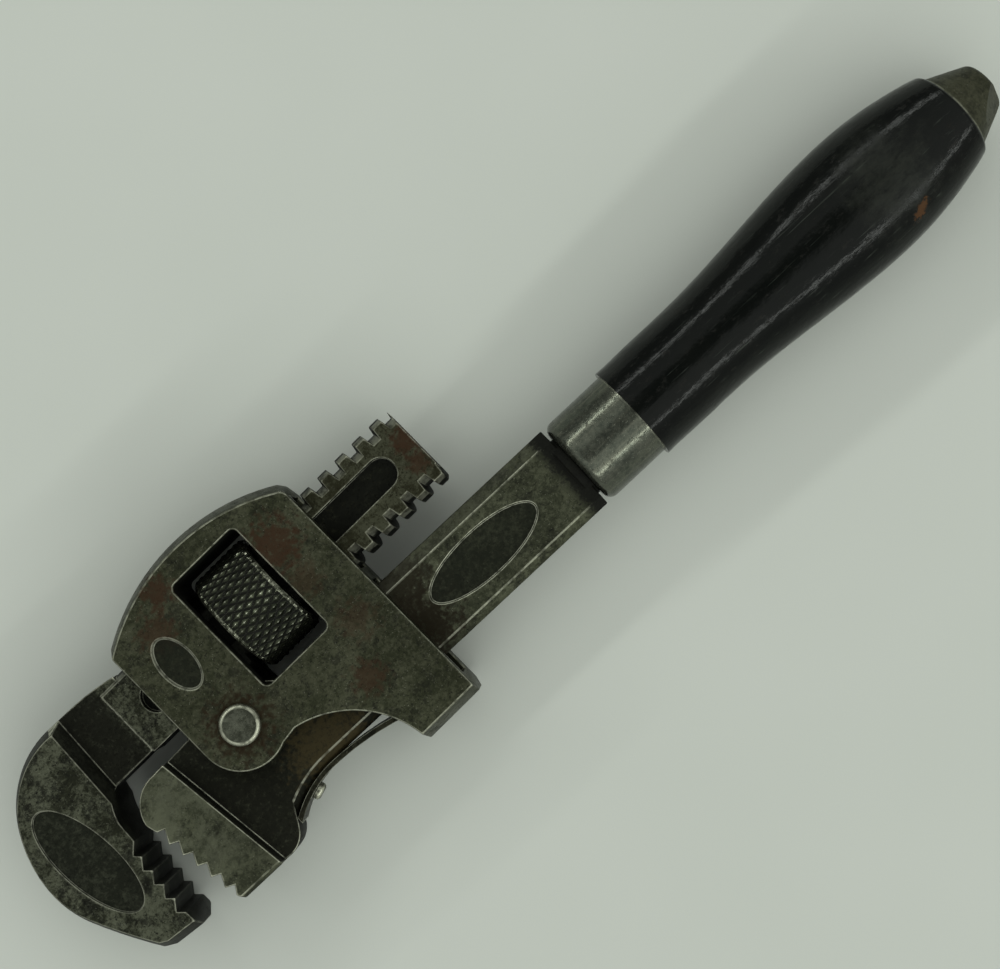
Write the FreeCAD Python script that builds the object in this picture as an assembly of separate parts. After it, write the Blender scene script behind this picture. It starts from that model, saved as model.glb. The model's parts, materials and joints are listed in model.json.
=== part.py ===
import FreeCAD, Part
import math
import os

from FreeCAD import Vector

# A small adjustable pipe wrench of the pivoted-frame pattern, lying on its side.
# Lengths are in millimetres. Every piece is drawn about the axis of the frame's
# pivot pin: X runs along the handle towards the butt, Y across it towards the
# hook jaw's shank, and Z up through the wrench, with Z = 0 at half its thickness.
# The frame and what it carries are drawn square to the frame and then turned by
# LEAN about the pin. The finished wrench stands on Z = 0, under its own middle.

# ---- thicknesses (half of each, either side of Z = 0)
BAR_HALF_THICK = 3.8
HEAD_HALF_THICK = 7.0
FRAME_HALF_THICK = 7.5
NECK_HALF_THICK = 3.3
SIDE_GAP = 0.3

# ---- frame pivot
PIN_RADIUS = 2.4
PIN_WALL = 1.9
PIN_INSET = 1.5
PIN_HEAD_RADIUS = 3.15
PIN_HEAD_RISE = 1.0
PIN_HEAD_ROUND = 0.75
PIN_RUNNING_GAP = 0.05
LEAN = 1.5
GRIP_SWING = 2.0
RELEASE_SWING = 1.2
SWING_GAP = 0.25

# ---- screw thread of the jaw's shank and its nut
THREAD_PITCH = 25.4 / 7
SHANK_RADIUS = 7.05
THREAD_DEPTH = 1.4
GROOVE_ROOT_WIDTH = 1.36
FLANK_FLARE = 0.35
THREAD_GAP = 0.25
THREAD_FOOT_GAP = 0.5
THREAD_START = -4.0
CREST_AT = 1.1
SHANK_END = 47.4
SHANK_TIP_BEVEL = 0.5
SHANK_GAP = 0.35
EDGE_TURN = 0.3

# ---- adjusting nut and its window
NUT_WALL = 1.45
NUT_LENGTH = 10.0
NUT_LEFT = 8.4
NUT_CHAMFER = 0.6
WINDOW_LEFT = 6.6
WINDOW_LENGTH = 12.9
WINDOW_BELOW = 1.7
WINDOW_ABOVE = 1.2
WINDOW_CORNER = 1.0

# ---- frame outline
LOBE_RADIUS = 6.9
FRAME_END = 28.5
FRAME_CORNER_RISE = 2.6
FRAME_CROWN_RISE = 7.6
FRAME_CORNER_RADIUS = 1.2
LOBE_ARC = (-123.0, -66.0)    # degrees from +X: the lobe's lowest point on the left, and its end
LOBE_FILLET = (2.6, 0.35)
FOOT_LEFT = 18.2
FOOT_ROOM = 3.6
FOOT_WALL = 3.6
FOOT_THROAT = (5.2, 0.53, 0.31)    # back from the foot; shares of the lobe's end and of the foot's height
FOOT_BRIDGE_LEAD = 3.0
CROWN_INSET = 1.3
CROWN_DROP = 4.0

# ---- hook jaw (X from the pin, Y from the shank's axis)
JAW_CLOSING = 2.2
HOOK_STEP = -19.8
HOOK_STEP_LEAN = 0.6
HOOK_SHOULDER = 8.2
HOOK_SHOULDER_BACK = 1.7
NECK_TOP = 8.1
NECK_ROOT = (2.0, 0.8)    # how deep the neck's root lies in the hook, and how far below the neck
NECK_LAP = 0.2
HOOK_BACK = [(-29.3, 6.5), (-35.8, 0.2), (-38.6, -9.0), (-37.2, -17.0), (-31.9, -27.0)]
HOOK_TOE = ((-30.2, -28.0), (-25.2, -28.6), (-24.9, -26.9))
HOOK_MOUTH_TOP = ((-24.8, -14.3), (-23.2, -12.8), (-23.0, -9.5))
HOOK_THROAT_VIA = (-22.3, -7.6)
NECK_CROWN_VIA = (-14.5, 7.9)
NECK_END = -12.7
NECK_LOWER = -5.0
THREAD_RELIEF = 0.3
HOOK_TOOTH_START = (-23.95, -15.2)
HOOK_TOOTH_LEAN = -5.5
HOOK_TOOTH_DEPTH = 1.1
JAW_GROOVE = (-9.0, 42.8)
JAW_GROOVE_WIDTH = 4.9
JAW_GROOVE_OFFSET = 0.4
JAW_GROOVE_DEPTH = 1.4

# ---- teeth of both jaws
TOOTH_COUNT = 5
TOOTH_PITCH = 2.6
TOOTH_STEEP_SHARE = 0.33

# ---- bar and heel jaw (X from the pin, Y from the handle's centreline)
BAR_HALF_WIDTH = 7.3
BEVEL_DROP = 1.4
FRONT_BEVEL = 2.0
BACK_BEVEL = 1.3
BAR_END = 61.7
PLATE_LEFT = -14.4
HEEL_NOSE = -20.4
HEEL_BACK = -13.3
HEEL_CROWN = (-14.6, -12.5)
HEEL_NOSE_VIA = (-18.9, 1.7)
HEEL_CHIN = ((0.0, 4.4), (0.5, 2.6), (1.7, 2.2))
HEEL_FOOT = ((-17.5, 1.2), (-16.8, 0.0), (-9.3, 0.0))
HEEL_BACK_BEVEL = 0.6
BACK_HOLLOW = (-8.7, -6.4, 0.35)    # where the hollow behind the heel starts, its middle, its rise
BACK_LIP = (0.6, 1.1)    # back from the spring's seat, and down
HEEL_TOOTH_START = (-19.8, 0.1)
HEEL_TOOTH_LEAN = 9.9
HEEL_TOOTH_DEPTH = 1.25
NUT_CLEAR_X = 7.6
LUG_RIGHT = 4.4

# ---- springs
HEEL_SPRING_THICK = 0.8
HEEL_SPRING_HALF_WIDTH = 3.4
SPRING_SEAT_RADIUS = 17.2
SPRING_SEAT_RIGHT = 5.5
SPRING_SEAT_LEFT = -3.9
SPRING_SEAT_MIDDLE = 1.5
SPRING_TIP = 21.3
SPRING_GAP = 0.1
RIVET_X = 0.25
RIVET_RADIUS = 0.85
RIVET_HEAD_RADIUS = 1.35
RIVET_HEAD_RISE = 1.0
RIVET_HEAD_ROUND = 0.6
RIVET_HEAD_GAP = 0.04
RIVET_DEPTH = 3.5
POCKET = (20.0, 28.0)
POCKET_DEPTH = 0.9
FRONT_SPRING_THICK = 0.5
FRONT_SPRING_HALF_WIDTH = 2.9
FRONT_SPRING_END_GAP = 0.5

# ---- tang, ferrule, handle and butt nut
TANG_RADIUS = 3.5
TANG_GAP = 0.1
COLLAR_RADIUS = 5.3
COLLAR_LENGTH = 0.5
TANG_ROOT = 1.0
FERRULE_RADIUS = 7.35
FERRULE_LENGTH = 11.4
FERRULE_WALL = 1.0
FERRULE_END_WALL = 1.6
FERRULE_ROUND = 1.5
SPIGOT_END_GAP = 0.2
SPIGOT_SIDE_GAP = 0.05
SPIGOT_LAP = 1.0
HANDLE_LENGTH = 65.4
HANDLE_NECK = 8.08
HANDLE_NECK_HALF_THICK = 8.03
HANDLE_BELLY = 10.35
HANDLE_BELLY_HALF_THICK = 8.75
HANDLE_BUTT = 7.55
HANDLE_BUTT_HALF_THICK = 7.45
HANDLE_END_ROUND = 0.7
GRIP_NECK_END = 0.2
GRIP_BELLY_AT = 0.72
GRIP_SECTIONS = 14
BUTT_NUT_LENGTH = 6.9
BUTT_NUT_BASE = 6.85
BUTT_NUT_TIP = 3.7
BUTT_NUT_ROUND = 1.2
BUTT_NUT_FLAT_START = 0.3
BUTT_NUT_FLAT_SLOPE = 34.0
BUTT_NUT_FLAT_TURNS = (52.0, 232.0)
TANG_BLIND = 2.4

# ---- shallow oval panels: middle x and y, half length along X, half width along Y, turn
PANEL_DEPTH = 0.5
HOOK_PANEL = (-30.2, -10.2, 4.0, 10.4, 5.0)
FRAME_PANEL = (-0.4, 12.9, 2.6, 4.6, 0.0)
BAR_PANEL = (43.2, -0.1, 10.4, 3.6, 0.0)

# ---- worked out from the sizes above
PIN_OFFSET = BAR_HALF_WIDTH - PIN_INSET
NUT_RADIUS = SHANK_RADIUS + THREAD_GAP + NUT_WALL
SHANK_OFFSET = PIN_RADIUS + PIN_WALL + SWING_GAP + SHANK_RADIUS
ROOT_RADIUS = SHANK_RADIUS - THREAD_DEPTH
SLOT_HALF = BAR_HALF_THICK + SIDE_GAP
CHANNEL_TOP = SHANK_OFFSET + SHANK_RADIUS + SHANK_GAP
CHANNEL_BOTTOM = SHANK_OFFSET - SHANK_RADIUS - SHANK_GAP
PARTITION_BOTTOM = PIN_INSET + SIDE_GAP
WINDOW_BOTTOM = SHANK_OFFSET - NUT_RADIUS - WINDOW_BELOW
WINDOW_TOP = SHANK_OFFSET + NUT_RADIUS + WINDOW_ABOVE
WINDOW_RIGHT = WINDOW_LEFT + WINDOW_LENGTH
FRAME_LEFT = -LOBE_RADIUS
FOOT_INNER = -(PIN_OFFSET + BAR_HALF_WIDTH + FRAME_END * math.sin(math.radians(LEAN)) + FOOT_ROOM)
FOOT_OUTER = FOOT_INNER - FOOT_WALL
BORE_RADIUS = PIN_RADIUS + PIN_RUNNING_GAP
BAR_TOP_FROM_PIN = SHANK_OFFSET - SHANK_RADIUS - SWING_GAP
FERRULE_START = BAR_END + COLLAR_LENGTH
HANDLE_START = FERRULE_START + FERRULE_LENGTH
HANDLE_END = HANDLE_START + HANDLE_LENGTH
FAR = 200.0
OVERRUN = 1.0
NEAR = 0.01


def point(x, y, z=0.0):
    return Vector(x, y, z)


def tangent_arc(here, heading, there):
    """The arc that leaves here along heading and ends at there, with its heading at the end."""
    chord = there - here
    along = Vector(chord).normalize()
    aside = heading - along * heading.dot(along)
    turn = math.atan2(aside.Length, heading.dot(along))
    via = (here + there) * 0.5 + aside.normalize() * (0.5 * chord.Length * math.tan(turn / 2))
    return Part.Arc(here, via, there).toShape(), along * (2 * heading.dot(along)) - heading


def outline(start, *steps):
    """A closed wire. A step is a corner (x, y), a pair (via, end) for an arc, or a list of points
    that arcs run through smoothly, on from the step before."""
    edges = []
    here = point(*start)
    for step in steps:
        if isinstance(step, list):
            heading = edges[-1].tangentAt(edges[-1].LastParameter)
            for place in step:
                arc, heading = tangent_arc(here, heading, point(*place))
                edges.append(arc)
                here = point(*place)
        elif isinstance(step[0], tuple):
            via, end = step
            edges.append(Part.Arc(here, point(*via), point(*end)).toShape())
            here = point(*end)
        else:
            edges.append(Part.LineSegment(here, point(*step)).toShape())
            here = point(*step)
    if here.distanceToPoint(point(*start)) > NEAR:
        edges.append(Part.LineSegment(here, point(*start)).toShape())
    return Part.Wire(edges)


def slab(wire, half_thick):
    """A flat plate with the given outline, as thick above Z = 0 as below it."""
    plate = Part.Face(wire).extrude(point(0, 0, 2 * half_thick))
    plate.translate(point(0, 0, -half_thick))
    return plate


def crowned_disc(x, y, radius, half_thick):
    """A round plate whose rim is drafted on both sides, as a forging die leaves it."""
    shoulder = half_thick - CROWN_DROP
    corners = [(0, -half_thick), (radius - CROWN_INSET, -half_thick), (radius, -shoulder),
               (radius, shoulder), (radius - CROWN_INSET, half_thick), (0, half_thick)]
    section = Part.Face(Part.makePolygon([point(r, 0, z) for r, z in corners + corners[:1]]))
    disc = section.revolve(point(0, 0), point(0, 0, 1), 360)
    disc.translate(point(x, y))
    return disc


def block(x0, x1, y0, y1, half_thick):
    return Part.makeBox(x1 - x0, y1 - y0, 2 * half_thick, point(x0, y0, -half_thick))


def rod(radius, x0, x1, y=0.0):
    """A round bar along X."""
    return Part.makeCylinder(radius, x1 - x0, point(x0, y, 0), point(1, 0, 0))


def oval_panel(x, y, half_x, half_y, turn, face):
    """The two shallow recesses, one in each side, that an oval panel leaves."""
    ellipse = Part.Ellipse(point(0, 0), max(half_x, half_y), min(half_x, half_y)).toShape()
    floor = Part.Face(Part.Wire(ellipse))
    upright = 90.0 if half_y > half_x else 0.0
    floor.rotate(point(0, 0), point(0, 0, 1), upright + turn)
    recesses = []
    for start in (face - PANEL_DEPTH, -face - OVERRUN):
        recess = floor.extrude(point(0, 0, PANEL_DEPTH + OVERRUN))
        recess.translate(point(x, y, start))
        recesses.append(recess)
    return recesses


def edges_where(shape, test):
    """The edges of a shape whose midpoints pass the test."""
    found = []
    for edge in shape.Edges:
        middle = edge.valueAt(0.5 * (edge.FirstParameter + edge.LastParameter))
        if test(middle):
            found.append(edge)
    return found


def on_a_side(middle):
    """True for an edge of one flat side of a slab, false for the edges that join its two sides."""
    return abs(middle.z) > NEAR


def saw_teeth(start, lean, depth, into_metal, steep_first):
    """Corners of a row of saw teeth that runs down from a first tip; lean tilts the row from -Y."""
    along = point(math.sin(math.radians(lean)), -math.cos(math.radians(lean)))
    inward = point(into_metal * math.cos(math.radians(lean)), into_metal * math.sin(math.radians(lean)))
    valley_share = TOOTH_STEEP_SHARE if steep_first else 1 - TOOTH_STEEP_SHARE
    corners = []
    for tooth in range(TOOTH_COUNT):
        tip = point(*start) + along * (TOOTH_PITCH * tooth)
        valley = tip + along * (TOOTH_PITCH * valley_share) + inward * depth
        corners += [(tip.x, tip.y), (valley.x, valley.y)]
    return corners


def helical_cut(turns, x, angle, inner, outer, inner_width, outer_width):
    """A right-hand helical trapezoid about X, with its middle at x and at an angle from Y."""
    helix = Part.makeLongHelix(THREAD_PITCH, THREAD_PITCH * turns, inner)
    half_in, half_out = inner_width / 2, outer_width / 2
    corners = [(inner, -half_in), (outer, -half_out), (outer, half_out), (inner, half_in)]
    section = Part.makePolygon([point(r, 0, z) for r, z in corners + corners[:1]])
    cut = Part.Wire(helix.Edges).makePipeShell([section], True, True)
    if cut.Volume < 0:
        cut.reverse()
    cut.rotate(point(0, 0), point(0, 1, 0), 90)
    cut.rotate(point(0, 0), point(1, 0, 0), 90 + angle - 180 * turns)
    cut.translate(point(x - THREAD_PITCH * turns / 2, 0, 0))
    return cut


def groove_width(radius):
    """Width of the shank's thread groove at a radius."""
    return GROOVE_ROOT_WIDTH + FLANK_FLARE * (radius - ROOT_RADIUS)


def in_frame(shape):
    """Turns a piece drawn square to the frame to the frame's lean."""
    shape.rotate(point(0, 0), point(0, 0, 1), LEAN)
    return shape


def on_bar(shape):
    """Moves a piece drawn about the handle's centreline so that the pin is at the origin."""
    shape.translate(point(0, -PIN_OFFSET, 0))
    return shape


# ---------------------------------------------------------------- bar with the heel jaw and the tang

def bar_top(x):
    """Height of the bar's front edge, which the shank's lower crests just clear over the whole swing."""
    lean = LEAN + GRIP_SWING if x < 0 else LEAN - RELEASE_SWING
    slope = math.tan(math.radians(lean)) if x < 0 else 0.0
    return PIN_OFFSET + BAR_TOP_FROM_PIN + slope * x


def seat_point(x, radius):
    """A point of the spring's seat, an arc that leaves the bar's back level at SPRING_SEAT_RIGHT."""
    centre_y = -BAR_HALF_WIDTH - SPRING_SEAT_RADIUS
    return (x, centre_y + math.sqrt(radius ** 2 - (SPRING_SEAT_RIGHT - x) ** 2))


def at_rivet(upright):
    """Moves a shape drawn about +Z to the spring's rivet, its foot on the seat, pointing outwards."""
    turn = math.degrees(math.asin((SPRING_SEAT_RIGHT - RIVET_X) / SPRING_SEAT_RADIUS))
    upright.rotate(point(0, 0), point(1, 0, 0), 90)
    upright.rotate(point(0, 0), point(0, 0, 1), turn)
    upright.translate(point(*seat_point(RIVET_X, SPRING_SEAT_RADIUS)))
    return upright


def rivet_hole(start, end):
    """The rivet's hole between two heights over the seat."""
    return at_rivet(Part.makeCylinder(RIVET_RADIUS, end - start, point(0, 0, start)))


def bar_plate():
    seat_end = seat_point(SPRING_SEAT_LEFT, SPRING_SEAT_RADIUS)
    hollow_left, hollow_middle, hollow_rise = BACK_HOLLOW
    lip_back, lip_drop = BACK_LIP
    plate = slab(outline(
        (BAR_END, BAR_HALF_WIDTH),
        (NUT_CLEAR_X, BAR_HALF_WIDTH),
        (LUG_RIGHT, bar_top(LUG_RIGHT)),
        (0.0, bar_top(0.0)),
        (PLATE_LEFT, bar_top(PLATE_LEFT)),
        (PLATE_LEFT, HEEL_BACK),
        (hollow_left, HEEL_BACK),
        ((hollow_middle, HEEL_BACK + hollow_rise), (SPRING_SEAT_LEFT - lip_back, seat_end[1] - lip_drop)),
        seat_end,
        (seat_point(SPRING_SEAT_MIDDLE, SPRING_SEAT_RADIUS), (SPRING_SEAT_RIGHT, -BAR_HALF_WIDTH)),
        (BAR_END, -BAR_HALF_WIDTH),
    ), BAR_HALF_THICK)
    for side, bevel in ((1, FRONT_BEVEL), (-1, BACK_BEVEL)):
        long_edges = edges_where(plate, lambda m: abs(m.z) > BAR_HALF_THICK - NEAR and m.x > NUT_CLEAR_X
                                 and side * m.y > BAR_HALF_WIDTH - NEAR)
        plate = plate.makeChamfer(BEVEL_DROP, bevel, long_edges)
    return plate


def heel_head():
    teeth = saw_teeth(HEEL_TOOTH_START, HEEL_TOOTH_LEAN, HEEL_TOOTH_DEPTH, 1, True)
    crown_left, crown_right = HEEL_CROWN
    nose_x, nose_drop = HEEL_NOSE_VIA
    chin = [(HEEL_NOSE + dx, y) for dx, y in HEEL_CHIN]
    head = slab(outline(
        (crown_right, bar_top(crown_right)),
        (crown_left, bar_top(crown_left)),
        ((nose_x, bar_top(crown_left) - nose_drop), chin[0]),
        *chin[1:],
        *teeth,
        *[(x, HEEL_BACK + rise) for x, rise in HEEL_FOOT],
    ), HEAD_HALF_THICK)
    back_edges = edges_where(head, lambda m: on_a_side(m) and m.y < HEEL_BACK + NEAR)
    return head.makeChamfer(HEEL_BACK_BEVEL, back_edges)


def bar():
    tang_end = HANDLE_END + BUTT_NUT_LENGTH - TANG_BLIND
    forging = bar_plate().fuse([
        heel_head(),
        rod(COLLAR_RADIUS, BAR_END - TANG_ROOT, FERRULE_START),
        rod(TANG_RADIUS, BAR_END - TANG_ROOT, tang_end),
    ])
    cuts = [
        Part.makeCylinder(BORE_RADIUS, 2 * FAR, point(0, PIN_OFFSET, -FAR)),
        block(POCKET[0], POCKET[1], BAR_HALF_WIDTH - POCKET_DEPTH, FAR, FAR),
        rivet_hole(-RIVET_DEPTH, OVERRUN),
    ]
    cuts += oval_panel(*BAR_PANEL, BAR_HALF_THICK)
    return on_bar(forging.cut(cuts).removeSplitter())


# ---------------------------------------------------------------- springs on the bar

def heel_spring():
    """A bowed leaf: riveted to the bar's back at one end, its tip bearing on the frame's foot."""
    thick = HEEL_SPRING_THICK
    seat_end = seat_point(SPRING_SEAT_LEFT, SPRING_SEAT_RADIUS)
    seat_outer = seat_point(SPRING_SEAT_LEFT, SPRING_SEAT_RADIUS - thick)
    run = SPRING_TIP - SPRING_SEAT_RIGHT
    foot_y = PIN_OFFSET + FOOT_INNER + SPRING_TIP * math.tan(math.radians(LEAN))
    drop = (-BAR_HALF_WIDTH - foot_y) - thick - SPRING_GAP
    reach = (run ** 2 + drop ** 2) / (2 * drop)
    centre = (SPRING_SEAT_RIGHT, -BAR_HALF_WIDTH - reach)

    def free_point(share, radius):
        turn = share * math.asin(run / reach)
        return (centre[0] + radius * math.sin(turn), centre[1] + radius * math.cos(turn))

    leaf = slab(outline(
        seat_end,
        (seat_point(SPRING_SEAT_MIDDLE, SPRING_SEAT_RADIUS), (SPRING_SEAT_RIGHT, -BAR_HALF_WIDTH)),
        (free_point(0.5, reach), free_point(1.0, reach)),
        free_point(1.0, reach - thick),
        (free_point(0.5, reach - thick), (SPRING_SEAT_RIGHT, -BAR_HALF_WIDTH - thick)),
        (seat_point(SPRING_SEAT_MIDDLE, SPRING_SEAT_RADIUS - thick), seat_outer),
    ), HEEL_SPRING_HALF_WIDTH)
    return on_bar(leaf.cut(rivet_hole(-OVERRUN, thick + OVERRUN)))


def spring_rivet():
    """Its flat head stands just clear of the leaf's hollow side, which its rim would cut into."""
    leaf_radius = SPRING_SEAT_RADIUS - HEEL_SPRING_THICK
    sag = leaf_radius - math.sqrt(leaf_radius ** 2 - RIVET_HEAD_RADIUS ** 2)
    underside = HEEL_SPRING_THICK + sag + RIVET_HEAD_GAP
    outer_face = underside + RIVET_HEAD_RISE
    head = Part.makeCylinder(RIVET_HEAD_RADIUS, RIVET_HEAD_RISE, point(0, 0, underside))
    head = head.makeFillet(RIVET_HEAD_ROUND, edges_where(head, lambda m: m.z > outer_face - NEAR))
    body_length = RIVET_DEPTH + outer_face - RIVET_HEAD_ROUND
    body = Part.makeCylinder(RIVET_RADIUS, body_length, point(0, 0, -RIVET_DEPTH))
    return on_bar(at_rivet(head.fuse(body).removeSplitter()))


def front_spring():
    """A small bowed leaf, trapped in the bar's pocket with its crown against the frame's partition."""
    left = POCKET[0] + FRONT_SPRING_END_GAP
    right = POCKET[1] - FRONT_SPRING_END_GAP
    middle = (left + right) / 2
    floor = BAR_HALF_WIDTH - POCKET_DEPTH
    ceiling = PIN_OFFSET + PARTITION_BOTTOM + left * math.tan(math.radians(LEAN))
    rise = ceiling - SPRING_GAP - FRONT_SPRING_THICK - floor
    thick = FRONT_SPRING_THICK
    leaf = slab(outline(
        (left, floor),
        ((middle, floor + rise), (right, floor)),
        (right, floor + thick),
        ((middle, floor + rise + thick), (left, floor + thick)),
    ), FRONT_SPRING_HALF_WIDTH)
    return on_bar(leaf)


# ---------------------------------------------------------------- ferrule, handle and butt nut

def ferrule():
    """A drawn steel cup over the handle's front end, closed round the tang."""
    cup = rod(FERRULE_RADIUS, FERRULE_START, HANDLE_START)
    cup = cup.makeFillet(FERRULE_ROUND, edges_where(cup, lambda m: m.x < FERRULE_START + NEAR))
    hollow = rod(FERRULE_RADIUS - FERRULE_WALL, FERRULE_START + FERRULE_END_WALL, HANDLE_START + OVERRUN)
    hole = rod(TANG_RADIUS + TANG_GAP, FERRULE_START - OVERRUN, HANDLE_START)
    return on_bar(cup.cut([hollow, hole]))


def grip_half(neck, belly, butt, share):
    """Half of the grip's width or thickness at a share of its length: a slim neck, a belly, a butt."""
    if share > GRIP_BELLY_AT:
        fall = (share - GRIP_BELLY_AT) / (1 - GRIP_BELLY_AT)
        return belly - (belly - butt) * fall ** 2
    rise = max(0.0, share - GRIP_NECK_END) / (GRIP_BELLY_AT - GRIP_NECK_END)
    return neck + (belly - neck) * rise ** 2 * (3 - 2 * rise)


def grip_section(share):
    """One oval section of the grip."""
    half_width = grip_half(HANDLE_NECK, HANDLE_BELLY, HANDLE_BUTT, share)
    half_thick = grip_half(HANDLE_NECK_HALF_THICK, HANDLE_BELLY_HALF_THICK, HANDLE_BUTT_HALF_THICK, share)
    section = Part.Wire(Part.Ellipse(point(0, 0), half_width, half_thick).toShape())
    section.rotate(point(0, 0), point(0, 0, 1), 90)
    section.rotate(point(0, 0), point(0, 1, 0), 90)
    section.translate(point(HANDLE_START + share * HANDLE_LENGTH, 0, 0))
    return section


def handle():
    shares = [index / (GRIP_SECTIONS - 1) for index in range(GRIP_SECTIONS)]
    grip = Part.makeLoft([grip_section(share) for share in shares], True, False)
    grip = grip.makeFillet(HANDLE_END_ROUND, edges_where(grip, lambda m: m.x > HANDLE_END - NEAR))
    spigot_start = FERRULE_START + FERRULE_END_WALL + SPIGOT_END_GAP
    spigot = rod(FERRULE_RADIUS - FERRULE_WALL - SPIGOT_SIDE_GAP, spigot_start, HANDLE_START + SPIGOT_LAP)
    bore = rod(TANG_RADIUS + TANG_GAP, spigot_start - OVERRUN, HANDLE_END + OVERRUN)
    return on_bar(grip.fuse(spigot).cut(bore))


def butt_nut_flat(turn):
    """What one sloping flat takes off the butt nut, turned about the tang's axis."""
    start = HANDLE_END + BUTT_NUT_FLAT_START * BUTT_NUT_LENGTH
    radius = BUTT_NUT_BASE + (BUTT_NUT_TIP - BUTT_NUT_BASE) * BUTT_NUT_FLAT_START
    cut = Part.makeBox(2 * FAR, 2 * FAR, FAR, point(-FAR, -FAR, 0))
    cut.rotate(point(0, 0, 0), point(0, 1, 0), BUTT_NUT_FLAT_SLOPE)
    cut.translate(point(start, 0, radius))
    cut.rotate(point(0, 0, 0), point(1, 0, 0), turn)
    return cut


def butt_nut():
    """A tapered nut on the tang's end, domed, with two sloping flats for a spanner."""
    end = HANDLE_END + BUTT_NUT_LENGTH
    nose = point(1, 0, 0)
    cone = Part.makeCone(BUTT_NUT_BASE, BUTT_NUT_TIP, BUTT_NUT_LENGTH, point(HANDLE_END, 0, 0), nose)
    cone = cone.makeFillet(BUTT_NUT_ROUND, edges_where(cone, lambda m: m.x > end - NEAR))
    bore = rod(TANG_RADIUS, HANDLE_END - OVERRUN, end - TANG_BLIND)
    return on_bar(cone.cut([bore] + [butt_nut_flat(turn) for turn in BUTT_NUT_FLAT_TURNS]))


# ---------------------------------------------------------------- frame and its pin

def frame_outline_plate():
    """The frame's outside: a lobe round the pin, a hollow curve down to the foot, and a crowned top."""
    corner_y = CHANNEL_TOP + FRAME_CORNER_RISE
    crown_y = CHANNEL_TOP + FRAME_CROWN_RISE
    lobe_low, lobe_end = [point(LOBE_RADIUS * math.cos(math.radians(turn)),
                                LOBE_RADIUS * math.sin(math.radians(turn))) for turn in LOBE_ARC]
    throat_back, throat_of_lobe, throat_of_foot = FOOT_THROAT
    throat = (FOOT_LEFT - throat_back, throat_of_lobe * lobe_end.y + throat_of_foot * FOOT_OUTER)
    plate = slab(outline(
        (FRAME_LEFT, 0.0),
        ((lobe_low.x, lobe_low.y), (lobe_end.x, lobe_end.y)),
        (lobe_end.x + LOBE_FILLET[0], lobe_end.y + LOBE_FILLET[1]),
        (throat, (FOOT_LEFT, FOOT_OUTER)),
        (FRAME_END, FOOT_OUTER),
        (FRAME_END, crown_y),
        (FRAME_LEFT, crown_y),
    ), FRAME_HALF_THICK)
    foot = edges_where(plate, lambda m: on_a_side(m) and m.y < FOOT_OUTER + NEAR)
    plate = plate.makeChamfer(CROWN_DROP, CROWN_INSET, foot)
    half_span = (FRAME_END - FRAME_LEFT) / 2
    sag = crown_y - corner_y
    radius = (half_span ** 2 + sag ** 2) / (2 * sag)
    plate = plate.common(crowned_disc(FRAME_LEFT + half_span, crown_y - radius, radius, FRAME_HALF_THICK))
    corner = edges_where(plate, lambda m: m.x > FRAME_END - NEAR and m.y > corner_y - CROWN_INSET
                         and abs(m.z) < FRAME_HALF_THICK - NEAR)
    return plate.makeFillet(FRAME_CORNER_RADIUS, corner)


def frame():
    cheeks = frame_outline_plate()
    slot = block(-FAR, FAR, -FAR, CHANNEL_TOP, SLOT_HALF)
    keep = [
        block(WINDOW_RIGHT, FAR, PARTITION_BOTTOM, CHANNEL_BOTTOM, SLOT_HALF),
        block(FOOT_LEFT - FOOT_BRIDGE_LEAD, FAR, -FAR, FOOT_INNER, SLOT_HALF),
    ]
    window = block(WINDOW_LEFT, WINDOW_RIGHT, WINDOW_BOTTOM, WINDOW_TOP, FAR)
    window = window.makeFillet(WINDOW_CORNER, edges_where(window, lambda m: not on_a_side(m)))
    pin_hole = Part.makeCylinder(PIN_RADIUS, 2 * FAR, point(0, 0, -FAR))
    cuts = [slot.cut(keep), window, pin_hole] + oval_panel(*FRAME_PANEL, FRAME_HALF_THICK)
    return in_frame(cheeks.cut(cuts).removeSplitter())


def frame_pin():
    """The rivet that the frame swings on: fast in both cheeks, free in the bar."""
    pin = Part.makeCylinder(PIN_RADIUS, 2 * FRAME_HALF_THICK, point(0, 0, -FRAME_HALF_THICK))
    heads = []
    for side in (1, -1):
        face = point(0, 0, side * FRAME_HALF_THICK)
        head = Part.makeCylinder(PIN_HEAD_RADIUS, PIN_HEAD_RISE, face, point(0, 0, side))
        rim = edges_where(head, lambda m: abs(m.z) > FRAME_HALF_THICK + PIN_HEAD_RISE - NEAR)
        heads.append(head.makeFillet(PIN_HEAD_ROUND, rim))
    return in_frame(pin.fuse(heads).removeSplitter())


# ---------------------------------------------------------------- hook jaw and adjusting nut

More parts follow.
